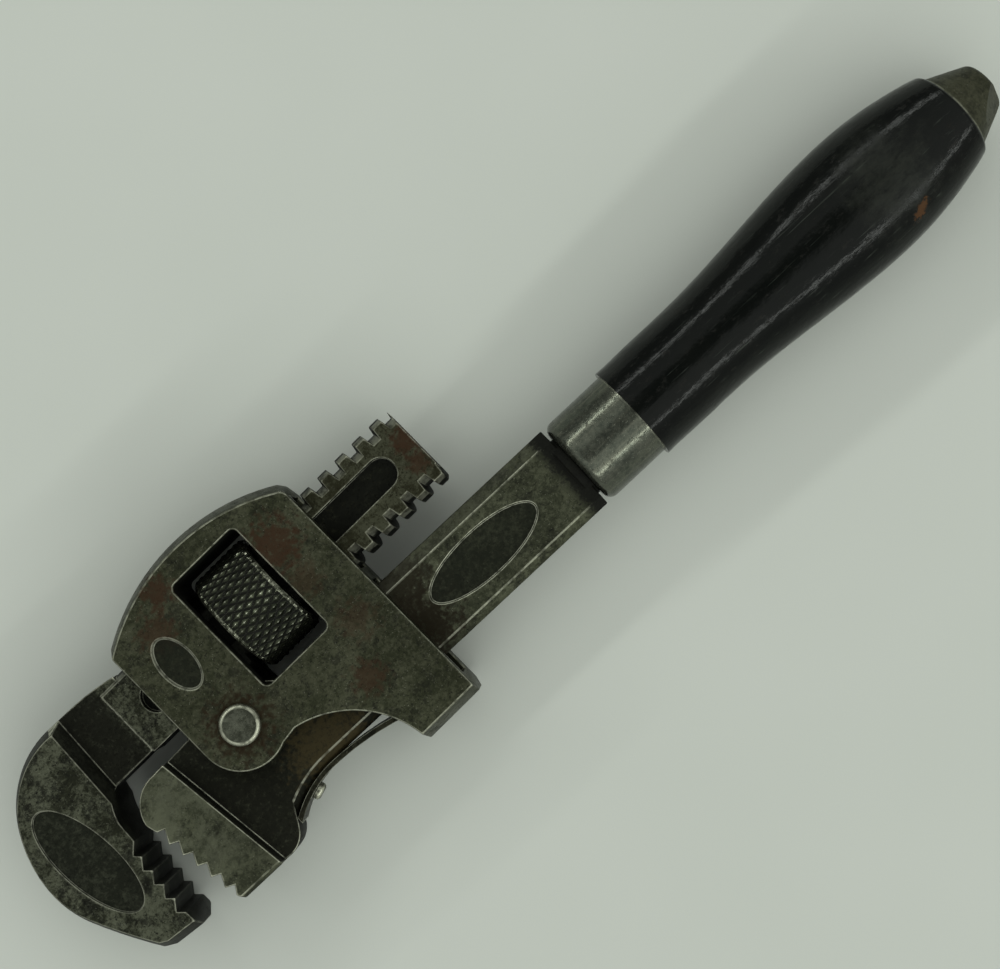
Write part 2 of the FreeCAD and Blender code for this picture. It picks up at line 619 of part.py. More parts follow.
def shank():
    """The flat shank: a round thread of which only the two edges are left."""
    blank = rod(SHANK_RADIUS, NECK_END, SHANK_END).common(block(-FAR, FAR, -FAR, FAR, BAR_HALF_THICK))
    tip_edges = edges_where(blank, lambda m: m.x > SHANK_END - NEAR and abs(m.y) > NEAR)
    blank = blank.makeChamfer(SHANK_TIP_BEVEL, tip_edges)
    outer = SHANK_RADIUS + OVERRUN
    widths = [groove_width(ROOT_RADIUS), groove_width(outer)]
    top_groove = helical_cut(EDGE_TURN, 0.0, 0.0, ROOT_RADIUS, outer, *widths)
    grooves = []
    half_turns = int((SHANK_END - THREAD_START) / (THREAD_PITCH / 2)) + 1
    first = math.ceil((THREAD_START - CREST_AT) / (THREAD_PITCH / 2))
    for half_turn in range(first, first + half_turns + 1):
        groove = top_groove.copy()
        if half_turn % 2 == 0:
            groove.rotate(point(0, 0), point(1, 0, 0), 180)
        groove.translate(point(CREST_AT + half_turn * THREAD_PITCH / 2, 0, 0))
        grooves.append(groove)
    relief = block(NECK_END - OVERRUN, THREAD_START, -FAR, NECK_LOWER - THREAD_RELIEF, FAR)
    return blank.cut(grooves).cut(relief)


def hook_head():
    teeth = saw_teeth(HOOK_TOOTH_START, HOOK_TOOTH_LEAN, HOOK_TOOTH_DEPTH, -1, False)
    head = slab(outline(
        (HOOK_STEP, NECK_TOP),
        (HOOK_STEP - HOOK_SHOULDER_BACK, HOOK_SHOULDER),
        HOOK_BACK,
        *HOOK_TOE,
        *reversed(teeth[:-1]),
        *HOOK_MOUTH_TOP,
        (HOOK_THROAT_VIA, (HOOK_STEP - HOOK_STEP_LEAN, NECK_LOWER)),
    ), HEAD_HALF_THICK)
    toe_x, toe_y = HOOK_TOE[0]
    back = edges_where(head, lambda m: on_a_side(m) and (m.x < toe_x or m.y > 0 or m.y < toe_y))
    return head.makeChamfer(CROWN_DROP, CROWN_INSET, back)


def neck():
    rise_start = FRAME_LEFT - JAW_CLOSING - SIDE_GAP
    root_depth, root_drop = NECK_ROOT
    return slab(outline(
        (HOOK_STEP - root_depth, NECK_TOP),
        (HOOK_STEP - root_depth, NECK_LOWER - root_drop),
        (HOOK_STEP - HOOK_STEP_LEAN, NECK_LOWER),
        (NECK_END + NECK_LAP, NECK_LOWER),
        (rise_start, NECK_LOWER),
        (rise_start, SHANK_RADIUS),
        (NECK_CROWN_VIA, (HOOK_STEP, NECK_TOP)),
    ), NECK_HALF_THICK)


def hook_jaw():
    left, right = JAW_GROOVE
    half = JAW_GROOVE_WIDTH / 2
    middle = JAW_GROOVE_OFFSET
    lightening = outline(
        (left + half, middle - half),
        (right - half, middle - half),
        ((right, middle), (right - half, middle + half)),
        (left + half, middle + half),
        ((left, middle), (left + half, middle - half)),
    )
    cuts = []
    for start in (BAR_HALF_THICK - JAW_GROOVE_DEPTH, -BAR_HALF_THICK - OVERRUN):
        groove = Part.Face(lightening).extrude(point(0, 0, JAW_GROOVE_DEPTH + OVERRUN))
        groove.translate(point(0, 0, start))
        cuts.append(groove)
    cuts += oval_panel(*HOOK_PANEL, HEAD_HALF_THICK)
    jaw = hook_head().fuse([neck(), shank()]).cut(cuts).removeSplitter()
    jaw.translate(point(0, SHANK_OFFSET, 0))
    return in_frame(jaw)


def adjusting_nut():
    """A barrel with an inside thread. The thread's cut runs a full turn past either end."""
    middle = NUT_LEFT + NUT_LENGTH / 2
    body = rod(NUT_RADIUS, NUT_LEFT, NUT_LEFT + NUT_LENGTH)
    body = body.makeChamfer(NUT_CHAMFER, edges_where(body, lambda m: abs(m.x - middle) > NEAR))
    ridge_foot = SHANK_RADIUS + THREAD_FOOT_GAP
    widths = [THREAD_PITCH - groove_width(radius) + 2 * THREAD_GAP for radius in (ROOT_RADIUS, ridge_foot)]
    turns = NUT_LENGTH / THREAD_PITCH + 2
    angle = 360 * (middle - CREST_AT) / THREAD_PITCH
    groove = helical_cut(turns, middle, angle, ROOT_RADIUS, ridge_foot, *widths)
    nut = body.cut(rod(ROOT_RADIUS + THREAD_GAP, 0, FAR)).cut(groove)
    nut.translate(point(0, SHANK_OFFSET, 0))
    return in_frame(nut)


PIECES = {
    "bar": bar,
    "heel_spring": heel_spring,
    "spring_rivet": spring_rivet,
    "front_spring": front_spring,
    "ferrule": ferrule,
    "handle": handle,
    "butt_nut": butt_nut,
    "frame": frame,
    "frame_pin": frame_pin,
    "hook_jaw": hook_jaw,
    "adjusting_nut": adjusting_nut,
}


def main():
    os.makedirs("parts", exist_ok=True)
    shapes = {name: make() for name, make in PIECES.items()}
    boxes = [shape.optimalBoundingBox(False, False) for shape in shapes.values()]
    middle_x = (min(b.XMin for b in boxes) + max(b.XMax for b in boxes)) / 2
    middle_y = (min(b.YMin for b in boxes) + max(b.YMax for b in boxes)) / 2
    ground = min(b.ZMin for b in boxes)
    pin_at = point(-middle_x, -middle_y, -ground)
    for name, shape in shapes.items():
        shape.translate(pin_at)
        shape.exportStep("parts/" + name + ".step")
        print(name, len(shape.Solids), "solid", shape.isValid(), round(shape.Volume, 1))
    print("pin axis at", [round(value, 4) for value in pin_at])
    print("half width across the shank's axis from the pin", round(SHANK_OFFSET, 4))
    print("overall", [round(v, 2) for v in (max(b.XMax for b in boxes) - min(b.XMin for b in boxes),
                                            max(b.YMax for b in boxes) - min(b.YMin for b in boxes),
                                            max(b.ZMax for b in boxes) - ground)])


main()
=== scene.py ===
# %% [markdown]
# # A small pipe wrench with a wooden handle
#
# The wrench lies flat on a pale table and is seen from above. Its construction is finished: every forging,
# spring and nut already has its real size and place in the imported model. What is left for Blender is the
# look of each piece. All places are read from that model, so nothing has to be fitted afterwards.

# %% Load the frame
import json
import math

import bmesh
import bpy
from mathutils import Matrix, Vector
from mathutils.bvhtree import BVHTree


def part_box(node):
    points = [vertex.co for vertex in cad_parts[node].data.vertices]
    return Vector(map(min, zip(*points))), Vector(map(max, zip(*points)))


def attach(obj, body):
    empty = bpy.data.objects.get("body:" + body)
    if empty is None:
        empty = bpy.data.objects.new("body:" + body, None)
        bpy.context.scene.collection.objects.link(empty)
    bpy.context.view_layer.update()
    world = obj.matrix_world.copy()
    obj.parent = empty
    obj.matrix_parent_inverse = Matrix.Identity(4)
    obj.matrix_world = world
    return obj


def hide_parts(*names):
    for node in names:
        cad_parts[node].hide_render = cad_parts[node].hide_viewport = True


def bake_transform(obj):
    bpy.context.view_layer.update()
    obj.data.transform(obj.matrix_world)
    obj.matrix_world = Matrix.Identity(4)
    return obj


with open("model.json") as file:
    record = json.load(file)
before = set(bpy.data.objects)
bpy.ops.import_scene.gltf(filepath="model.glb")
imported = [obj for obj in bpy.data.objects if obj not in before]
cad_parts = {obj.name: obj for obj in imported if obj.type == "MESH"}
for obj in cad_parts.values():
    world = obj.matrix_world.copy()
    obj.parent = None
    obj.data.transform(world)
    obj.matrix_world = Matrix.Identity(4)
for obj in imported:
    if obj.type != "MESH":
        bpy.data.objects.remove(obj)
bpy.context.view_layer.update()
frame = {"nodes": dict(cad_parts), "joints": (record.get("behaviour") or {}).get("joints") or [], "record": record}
nodes = frame["nodes"]
MM = 0.001
print("nodes:", sorted(nodes))

# %% [markdown]
# ## Places on the wrench
#
# Two directions matter. The bar and the handle lie along X. The frame and what it carries, the hook jaw and
# the nut, lean by a small angle about the pivot pin. That angle is the direction of the nut's own joint
# axis, so it is read from the record. Places are given in millimetres from the pin, because a stain or an
# oval panel is easiest to think of that way.

# %% Places
def middle_of(node):
    """The middle of a node's box, in millimetres."""
    low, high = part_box(node)
    return (low + high) / (2 * MM)


joints = {joint["name"]: joint for joint in frame["joints"]}
PIN = middle_of("frame_pin")
HALF_HEIGHT = PIN.z
nut_axis = joints["nut_spin"]["axis"]
LEAN = math.atan2(nut_axis[1], nut_axis[0])
coupling = frame["record"]["behaviour"]["couplings"][0]
THREAD_PITCH = 2 * math.pi / coupling["ratio"] / MM


def on_bar(x, y):
    """A place on the bar, the heel jaw or the handle."""
    return (PIN.x + x, PIN.y + y)


def on_head(x, y):
    """A place on the frame, the hook jaw or the nut, which lean together."""
    along, across = math.cos(LEAN), math.sin(LEAN)
    return (PIN.x + x * along - y * across, PIN.y + x * across + y * along)


print("pin at", [round(value, 2) for value in PIN])
print("lean", round(math.degrees(LEAN), 2), "pitch", round(THREAD_PITCH, 3))

# %% [markdown]
# ## Camera
#
# The camera looks almost straight down, so its view is close to a plan. It leans by only about two degrees,
# which shows a little of the frame's upper rim. A camera is a place, a point to look at and a roll. The
# roll is given as the direction on the table that the view's right-hand side points in.

# %% Camera
CAMERA_AT = Vector((-0.12, -13.54, 295.84)) * MM
CAMERA_AIM = Vector((-1.805, -2.898, 0.0)) * MM
CAMERA_HEADING = math.radians(-43.14)
CAMERA_LENS = 68.78
SENSOR_WIDTH = 36.0
NEAREST_SEEN = 0.01


def add_camera():
    across = Vector((math.cos(CAMERA_HEADING), math.sin(CAMERA_HEADING), 0.0))
    back = (CAMERA_AT - CAMERA_AIM).normalized()
    up = back.cross(across).normalized()
    right = up.cross(back)
    data = bpy.data.cameras.new("camera")
    data.lens = CAMERA_LENS
    data.sensor_width = SENSOR_WIDTH
    data.clip_start = NEAREST_SEEN
    camera = bpy.data.objects.new("camera", data)
    camera.matrix_world = Matrix.Translation(CAMERA_AT) @ Matrix((right, up, back)).transposed().to_4x4()
    bpy.context.scene.collection.objects.link(camera)
    bpy.context.scene.camera = camera
    return camera


camera = add_camera()
print("camera height in mm:", round(camera.location.z / MM, 1))

# %% [markdown]
# ## Node trees written as expressions
#
# A material is a tree of nodes. Linking dozens of them by hand hides the idea, so one small class wraps a
# socket and lets Python's operators add the Math nodes: `1 - mask` becomes a Subtract node. Everything else
# goes through one method, which takes a node's type, its settings and what its sockets get. The same two
# classes serve the materials and the Geometry Nodes below, because both kinds of tree know the Math node.

# %% Values and trees
class Value:
    """The output of a node. Operators on it add Math nodes to its tree."""

    def __init__(self, tree, socket):
        self.tree = tree
        self.socket = socket

    def math(self, operation, *terms):
        return self.tree.node("ShaderNodeMath", {"operation": operation}, dict(enumerate(terms)))

    def __add__(self, other):
        return self.math("ADD", self, other)

    def __sub__(self, other):
        return self.math("SUBTRACT", self, other)

    def __rsub__(self, other):
        return self.math("SUBTRACT", other, self)

    def __mul__(self, other):
        return self.math("MULTIPLY", self, other)

    def __truediv__(self, other):
        return self.math("DIVIDE", self, other)

    __radd__ = __add__
    __rmul__ = __mul__

    def abs(self):
        return self.math("ABSOLUTE", self)

    def least(self, other):
        return self.math("MINIMUM", self, other)

    def most(self, other):
        return self.math("MAXIMUM", self, other)

    def to_nearest_whole(self):
        """How far the value is from the nearest whole number, from 0 to 0.5."""
        return (self - self.math("ROUND", self)).abs()


class Tree:
    """A node tree that is written one node at a time."""

    def __init__(self, tree):
        self.tree = tree

    def node(self, kind, settings=None, inputs=None, output=0):
        """Adds a node. Its settings come first, because they decide which sockets it shows."""
        made = self.tree.nodes.new(kind)
        for name, setting in (settings or {}).items():
            setattr(made, name, setting)
        for place, value in (inputs or {}).items():
            if isinstance(value, Value):
                self.tree.links.new(value.socket, made.inputs[place])
            else:
                made.inputs[place].default_value = value
        return Value(self, made.outputs[output]) if made.outputs else None

    def step(self, value, low, high):
        """Rises smoothly from 0 at low to 1 at high. It falls instead where low is the larger one."""
        return self.node("ShaderNodeMapRange", {"interpolation_type": "SMOOTHSTEP"},
                         {"Value": value, "From Min": low, "From Max": high})


print("a step between two values is one node:", "ShaderNodeMapRange")

# %% [markdown]
# ## What every finish is made of
#
# Old tools show the same few things in different amounts: mottled metal, pits, grime in the corners, rust
# and edges worn bright. So a finish is built in layers, the way it came about on the real wrench. Each
# layer lays a colour, a metallic value and a roughness over what is there, through a mask.
#
# Masks come from noise in the object's own coordinates, in millimetres, and from how open the surface is.
# Ambient occlusion measured outwards finds the corners, which get grime and painted shade. Measured inwards,
# through the metal, it finds the thin edges that hands and work have rubbed, which also get painted
# highlights. Neither needs a texture or a UV map.

# %% Layers of a finish
OPENNESS_RAYS = 8


def screen(red, green, blue):
    """A colour given as it looks on screen, from 0 to 255, as the shader wants it."""
    return tuple(((value / 255 + 0.055) / 1.055) ** 2.4 for value in (red, green, blue)) + (1.0,)


class Finish(Tree):
    """A material that is built up in layers over a base."""

    def __init__(self, name, colour, metallic, roughness):
        self.material = bpy.data.materials.new("worn_" + name)
        self.material.use_nodes = True
        super().__init__(self.material.node_tree)
        self.tree.nodes.clear()
        place = self.node("ShaderNodeTexCoord", output="Object")
        self.at = self.node("ShaderNodeVectorMath", {"operation": "SCALE"}, {0: place, "Scale": 1 / MM})
        self.colour, self.metallic, self.roughness = colour, metallic, roughness
        self.height = None

    def noise(self, scale, detail=3.0, roughness=0.55, stretch=(1.0, 1.0, 1.0), shift=0.0):
        """Noise with so many bumps to a millimetre; stretch squeezes it along an axis."""
        place = self.node("ShaderNodeVectorMath", {"operation": "MULTIPLY_ADD"},
                          {0: self.at, 1: stretch, 2: (shift, shift, shift)})
        return self.node("ShaderNodeTexNoise", None,
                         {"Vector": place, "Scale": scale, "Detail": detail, "Roughness": roughness})

    def mix(self, amount, first, second):
        return self.node("ShaderNodeMix", {"data_type": "RGBA"}, {0: amount, 6: first, 7: second}, output=2)

    def axis(self, name):
        """One coordinate of the surface point, in millimetres."""
        return self.node("ShaderNodeSeparateXYZ", None, {0: self.at}, output=name)

    def reach(self, place, size=(1.0, 1.0), turn=0.0):
        """Distance from a place in plan, in units of an oval's half sizes."""
        local = self.node("ShaderNodeMapping", {"vector_type": "TEXTURE"},
                          {"Vector": self.at, "Location": (*place, 0.0), "Rotation": (0.0, 0.0, turn),
                           "Scale": (*size, 1.0)})
        flat = self.node("ShaderNodeVectorMath", {"operation": "MULTIPLY"}, {0: local, 1: (1.0, 1.0, 0.0)})
        return self.node("ShaderNodeVectorMath", {"operation": "LENGTH"}, {0: flat}, output="Value")

    def blot(self, place, radius, ragged=0.5, scale=0.5):
        """A soft stain with a ragged rim."""
        wander = (self.noise(scale, detail=4.0, shift=radius) - 0.5) * (2 * ragged)
        return self.step(self.reach(place, (radius, radius)) + wander, 1.0, 0.35)

    def corners(self, distance):
        """How shut in the surface is within a distance in millimetres: 0 in the open, 1 deep in a corner."""
        return 1 - self.node("ShaderNodeAmbientOcclusion", {"only_local": True, "samples": OPENNESS_RAYS},
                             {"Distance": distance * MM}, output="AO")

    def thin_edges(self, distance):
        """1 at an outside edge, 0 where the metal is thicker than the distance."""
        return 1 - self.node("ShaderNodeAmbientOcclusion",
                             {"only_local": True, "inside": True, "samples": OPENNESS_RAYS},
                             {"Distance": distance * MM}, output="AO")

    def layer(self, mask, colour, metallic=None, roughness=None):
        """Lays a colour over what is there where the mask is 1, and a metallic value and a roughness."""
        self.colour = self.mix(mask, self.colour, colour)
        if metallic is not None:
            self.metallic = self.metallic * (1 - mask) + mask * metallic
        if roughness is not None:
            self.roughness = self.roughness * (1 - mask) + mask * roughness

    def raise_by(self, height):
        """Adds to the surface's relief, in millimetres."""
        self.height = height if self.height is None else self.height + height

    def done(self, **constants):
        """Closes the tree with one shader; constants are sockets that don't vary."""
        bump = self.node("ShaderNodeBump", None, {"Strength": 1.0, "Distance": MM, "Height": self.height})
        inputs = {"Base Color": self.colour, "Metallic": self.metallic, "Roughness": self.roughness,
                  "Normal": bump}
        inputs.update({name.replace("_", " "): value for name, value in constants.items()})
        shader = self.node("ShaderNodeBsdfPrincipled", None, inputs)
        self.node("ShaderNodeOutputMaterial", None, {"Surface": shader})
        return self.material


print("a finish has", len(("colour", "metallic", "roughness", "height")), "running values")

# %% [markdown]
# ## Table and light
#
# The table is a plain pale sheet. The light is what a light tent gives: an even glow from above that falls
# off towards the sides, a dim opening straight overhead, and two long narrow soft boxes, one on each side.
# The glow is a little stronger at the front, so that the shadow falls behind the wrench. The dim opening
# keeps deep gaps dark and gives flat steel its contrast. The boxes run parallel to the wrench and leave the
# two thin lines that follow the handle and the ferrule. A cylinder throws the light back at twice the tilt
# of its surface, so the place of those lines decides how low the boxes hang.

# %% Table
TABLE_SIZE = 4.0
TABLE_DARK = screen(199, 202, 196)
TABLE_PALE = screen(206, 208, 203)
TABLE_GRAIN = 0.01


def add_table():
    half = TABLE_SIZE / 2
    mesh = bpy.data.meshes.new("table")
    corners = [(-half, -half, 0), (half, -half, 0), (half, half, 0), (-half, half, 0)]
    mesh.from_pydata(corners, [], [(0, 1, 2, 3)])
    table = bpy.data.objects.new("table", mesh)
    bpy.context.scene.collection.objects.link(table)
    finish = Finish("table_sheet", TABLE_DARK, 0.0, 0.85)
    finish.colour = finish.mix(finish.noise(0.02, detail=2.0), TABLE_DARK, TABLE_PALE)
    finish.raise_by(finish.noise(3.0) * TABLE_GRAIN)
    mesh.materials.append(finish.done(Specular_IOR_Level=0.1))
    return table


table = add_table()
print("table tones:", [[round(value, 3) for value in tone[:3]] for tone in (TABLE_DARK, TABLE_PALE)])

# %% Light
OVERHEAD_GLOW = 0.84
OPENING_GLOW = 0.2
LIGHT_TINT = screen(249, 255, 248)
SIDE_GLOW = 0.36
FRONT_SHARE = 0.32
GLOW_RISES = (0.2, 0.75)
OPENING_RISES = (0.93, 0.985)
HIGHLIGHT_TILT = math.radians(26.5)
BOX_DISTANCE = 0.62
BOX_LENGTH = 1.1
BOX_WIDTH = 0.03
BOX_RADIANCE = 9.0


def add_glow():
    world = bpy.data.worlds.new("tent")
    world.use_nodes = True
    tree = Tree(world.node_tree)
    tree.tree.nodes.clear()
    direction = tree.node("ShaderNodeTexCoord", output="Generated")
    upward = tree.node("ShaderNodeSeparateXYZ", None, {0: direction}, output="Z")
    backward = tree.node("ShaderNodeSeparateXYZ", None, {0: direction}, output="Y")
    strength = SIDE_GLOW + tree.step(upward, *GLOW_RISES) * (OVERHEAD_GLOW - SIDE_GLOW)
    strength = strength + tree.step(upward, *OPENING_RISES) * (OPENING_GLOW - OVERHEAD_GLOW)
    strength = strength * (1 - backward * FRONT_SHARE)
    glow = tree.node("ShaderNodeBackground", None, {"Color": LIGHT_TINT, "Strength": strength})
    tree.node("ShaderNodeOutputWorld", None, {"Surface": glow})
    bpy.context.scene.world = world


def add_soft_box(name, side):
    """A long box whose reflection in a cylinder along X lies at the highlight's tilt, to one side."""
    light = bpy.data.lights.new(name, "AREA")
    light.shape = "RECTANGLE"
    light.color = LIGHT_TINT[:3]
    light.size = BOX_LENGTH
    light.size_y = BOX_WIDTH
    light.energy = BOX_RADIANCE * math.pi * BOX_LENGTH * BOX_WIDTH
    box = bpy.data.objects.new(name, light)
    swing = 2 * HIGHLIGHT_TILT * side
    box.location = (0.0, -BOX_DISTANCE * math.sin(swing), BOX_DISTANCE * math.cos(swing))
    box.rotation_euler = (swing, 0.0, 0.0)
    bpy.context.scene.collection.objects.link(box)
    return box


add_glow()
boxes = [add_soft_box("soft_box_front", 1), add_soft_box("soft_box_back", -1)]
bpy.context.scene.view_settings.view_transform = "Standard"
print("soft boxes hang at", [[round(value, 2) for value in box.location] for box in boxes])

# %% [markdown]
# ## Steel, in general
#
# All the steel on this wrench started as one of three surfaces: ground faces, dark forging scale and turned
# work. The mottling is the same everywhere: clouds some millimetres across, a finer speckle, and pits that
# are dark because they hold oil and rust. This function lays that much, and each finish adds its own marks.

# %% Mottled steel
# Black for oil and dirt, also used for painted shade in corners, gaps and grooves.
OIL_AND_SHADE_BLACK = screen(10, 10, 7)
RUST_BROWN = screen(52, 33, 19)
# Bright for worn steel, also used for painted highlights and glints.
HIGHLIGHT_AND_WEAR_BRIGHT = screen(190, 190, 172)
DULL_SHEEN = 0.15
CLOUDS_PER_MM = 0.2
SPECKS_PER_MM = 1.3
DIRT_PER_MM = 0.34
PITS_PER_MM = 2.3
GLINTS_PER_MM = 4.6
MOTTLE_MIDDLE = 0.505
MOTTLE_SPREAD = 0.06


def mottled_steel(name, dark, pale, pitting=1.0, roughness=0.44, contrast=1.0):
    finish = Finish(name, dark, 0.9, roughness)
    cloud = finish.noise(CLOUDS_PER_MM, detail=6.0, roughness=0.66)
    speckle = finish.noise(SPECKS_PER_MM, detail=6.0, roughness=0.78)
    spread = MOTTLE_SPREAD / contrast
    mottle = finish.step(cloud * 0.45 + speckle * 0.55, MOTTLE_MIDDLE - spread, MOTTLE_MIDDLE + spread)
    finish.layer(mottle, pale)
    finish.roughness = finish.roughness + (speckle - 0.5) * 0.35
    dirt = finish.step(finish.noise(DIRT_PER_MM, detail=8.0, roughness=0.8, shift=7.0), 0.5, 0.6) * pitting
    finish.layer(dirt * 0.72, OIL_AND_SHADE_BLACK, metallic=0.4, roughness=0.6)
    pits = finish.step(finish.noise(PITS_PER_MM, detail=3.0, roughness=0.7, shift=5.0), 0.59, 0.66) * pitting
    finish.layer(pits * 0.85, OIL_AND_SHADE_BLACK, metallic=0.2, roughness=0.75)
    glints = finish.step(finish.noise(GLINTS_PER_MM, detail=2.0, shift=3.0), 0.66, 0.74)
    finish.layer(glints * 0.25, HIGHLIGHT_AND_WEAR_BRIGHT, roughness=0.3)
    finish.raise_by(speckle * 0.06 * roughness)
    finish.raise_by(pits * -0.05)
    finish.speckle = speckle
    return finish


def tilt(finish):
    """1 on the faces that lie parallel to the table, 0 on upright walls."""
    normal = finish.node("ShaderNodeNewGeometry", output="True Normal")
    return finish.node("ShaderNodeSeparateXYZ", None, {0: normal}, output="Z").abs()


def side_walls(finish):
    """1 on the walls of a forging, 0 on its faces."""
    return finish.step(tilt(finish), 0.75, 0.35)


def slopes(finish, steepest):
    """1 on the rounded edges beside a forging's faces, down to the steepest slope named."""
    return finish.step(tilt(finish), steepest - 0.1, steepest) * finish.step(tilt(finish), 0.995, 0.97)


def age(finish, grime_and_shade=1.0, grime_and_shade_reach=2.5, wear_and_highlight=1.0, wear_and_highlight_reach=0.5, slope_highlight_and_wear=0.0, steepest=0.4):
    """The last two layers on any steel: grime and painted shade in the corners, and edges bright with wear and
    painted highlights.
    """
    # Painted shade and grime: the corners are darkened towards black.
    corner = finish.step(finish.corners(grime_and_shade_reach) + (finish.speckle - 0.5) * 0.3, 0.25, 0.6) * grime_and_shade
    finish.layer(corner * 0.94, OIL_AND_SHADE_BLACK, metallic=0.1, roughness=0.65)
    patchy = finish.step(finish.noise(0.7, detail=4.0, shift=11.0), 0.34, 0.56)
    # Painted highlights and wear on the rounded edges, picked by their tilt.
    rounded = slopes(finish, steepest) * (patchy * 0.75 + 0.25) * slope_highlight_and_wear * wear_and_highlight
    finish.layer(rounded, HIGHLIGHT_AND_WEAR_BRIGHT, roughness=0.36)
    # Wear and painted highlights on the thin outside edges.
    rubbed_and_highlit = finish.step(finish.thin_edges(wear_and_highlight_reach), 0.2, 0.5) * (patchy * 0.75 + 0.25) * wear_and_highlight
    finish.layer(rubbed_and_highlit * (1 - corner), HIGHLIGHT_AND_WEAR_BRIGHT, metallic=0.95, roughness=0.34)


print("steel tones:", RUST_BROWN[:3], HIGHLIGHT_AND_WEAR_BRIGHT[:3])

# %% [markdown]
# ## The forgings
#
# The frame is ground flat on both sides, with a brown bloom here and there and a dark ring where oil has
# crept out from under the pivot pin. The hook jaw and the heel jaw are ground only on their raised faces.
# Lower down they keep their black forging scale, and the height above the wrench's middle plane tells
# which is which. The shallow oval panels are left dark, as the die made them. Upright walls, the shank's groove,
# the inside of the nut's window and the bar beside the ferrule get painted shade.

# %% Frame finish
PANEL_TONE = screen(26, 28, 21)
# Near black for painted shade on upright walls and in the shank's groove.
WALL_SHADE_BLACK = screen(13, 14, 10)
NUT_MIDDLE = (13.4, 11.6)
WINDOW_HALF = (9.0, 9.9)
FACE_DEPTH = 0.3
FRAME_FACE = 7.5
PIN_STAIN_BROWN = screen(38, 29, 15)
PIN_STAIN_RADIUS = 6.6
FRAME_STAINS = ((21.9, 15.4, 5.4, 0.9), (4.8, 22.6, 3.4, 0.85), (0.6, 18.0, 3.8, 0.7),
                (18.5, -8.2, 3.6, 0.7), (21.6, 8.6, 3.4, 0.5), (23.0, -1.0, 4.0, 0.5))
FRAME_PANEL = (-0.4, 12.9)
FRAME_PANEL_SIZE = (2.6, 4.6)


def panel(finish, place, size, turn=0.0):
    """A dark oval panel. Its size is a hair larger than the recess, so that the rim's wall is dark too."""
    mask = finish.step(finish.reach(place, size, turn), 1.02, 0.985)
    grit = finish.step(finish.speckle, 0.3, 0.75)
    finish.layer(mask * (0.95 - grit * 0.3), PANEL_TONE, metallic=0.5, roughness=0.62)
    finish.raise_by(mask * finish.noise(1.1, detail=4.0, shift=21.0) * 0.08)


def rust(finish, place, radius, amount=0.7, colour=RUST_BROWN):
    """A rust stain: its middle is solid, its rim breaks up into specks."""
    mask = finish.blot(place, radius, ragged=1.1, scale=1.0)
    specks = finish.step(finish.speckle, 0.22, 0.5)
    finish.layer(mask * specks * amount, colour, metallic=0.15, roughness=0.75)


def inside_window(finish):
    """1 inside the frame's window, below its face."""
    local = finish.node("ShaderNodeMapping", {"vector_type": "TEXTURE"},
                        {"Vector": finish.at, "Location": (*on_head(*NUT_MIDDLE), 0.0),
                         "Rotation": (0.0, 0.0, LEAN)})
    x, y = [finish.node("ShaderNodeSeparateXYZ", None, {0: local}, output=axis).abs() for axis in "XY"]
    corner = (x - WINDOW_HALF[0]).most(y - WINDOW_HALF[1])
    below = finish.step(height_over_middle(finish), FRAME_FACE - FACE_DEPTH, FRAME_FACE - 2 * FACE_DEPTH)
    return finish.step(corner, 0.6, 0.0) * below


def height_over_middle(finish):
    return (finish.axis("Z") - HALF_HEIGHT).abs()


def frame_finish():
    finish = mottled_steel("frame_steel", screen(49, 51, 38), screen(74, 75, 60), pitting=0.75, contrast=0.7)
    rust(finish, on_head(0.0, 0.0), PIN_STAIN_RADIUS, 1.0, PIN_STAIN_BROWN)
    for x, y, radius, amount in FRAME_STAINS:
        rust(finish, on_head(x, y), radius, amount)
    panel(finish, on_head(*FRAME_PANEL), FRAME_PANEL_SIZE, LEAN)
    # Painted shade inside the nut's window, laid as black oil.
    shade_and_oil = inside_window(finish)
    finish.layer(shade_and_oil * 0.95, OIL_AND_SHADE_BLACK, metallic=0.1, roughness=0.7)
    age(finish, wear_and_highlight=1 - shade_and_oil, slope_highlight_and_wear=0.4)
    return finish.done(Specular_IOR_Level=DULL_SHEEN)


frame_steel = frame_finish()
print("frame finish:", len(frame_steel.node_tree.nodes), "nodes")

# %% Jaw and bar finishes
SCALE_BLACK = screen(20, 20, 14)
GROUND_FACE = 5.2
SCALE_SPECK = screen(60, 52, 36)
HEEL_PALE = screen(98, 100, 84)
HEEL_EDGE = (-6.0, -8.0)
HEEL_WORN = (-18.0, -8.0)
NECK_BROWN = screen(60, 52, 31)
BAR_DARK_PATCH = screen(30, 25, 14)
# The two black ones are darker patches on the bar just past the frame's right end.
BAR_MARKS = ((7.0, -11.0, 8.5, 0.8, NECK_BROWN), (29.5, -8.0, 7.5, 1.0, BAR_DARK_PATCH),
              (30.5, -1.0, 7.0, 0.9, BAR_DARK_PATCH))
BAR_PANEL = (43.2, -5.9)
BAR_PANEL_SIZE = (10.4, 3.6)
FERRULE_SHADE_AND_GRIME = (58.0, 60.0)
SHANK_BROWN = screen(50, 48, 32)
SHANK_STAINS = ((46.6, 13.2, 3.0, 0.9), (45.6, 9.4, 2.4, 0.8))
TROUGH_FLOOR = (3.0, 2.7)
HOOK_PANEL = (-30.2, 1.4)
HOOK_PANEL_SIZE = (4.0, 10.4)
HOOK_PANEL_TURN = math.radians(5.0)
SHADE_AND_OIL_BEGINS = (1.0, 4.0)
SHADE_AND_OIL_ENDS = (27.5, 24.0)


def scale(finish, mask, colour=SCALE_BLACK):
    """Black forging scale, which is never quite whole: specks of steel and brown show through it."""
    worn = finish.step(finish.noise(0.8, detail=7.0, roughness=0.8, shift=31.0), 0.5, 0.72)
    finish.layer(mask * (0.95 - worn * 0.45), colour, metallic=0.55, roughness=0.56)
    finish.layer(mask * finish.step(finish.speckle, 0.62, 0.72) * 0.6, SCALE_SPECK)


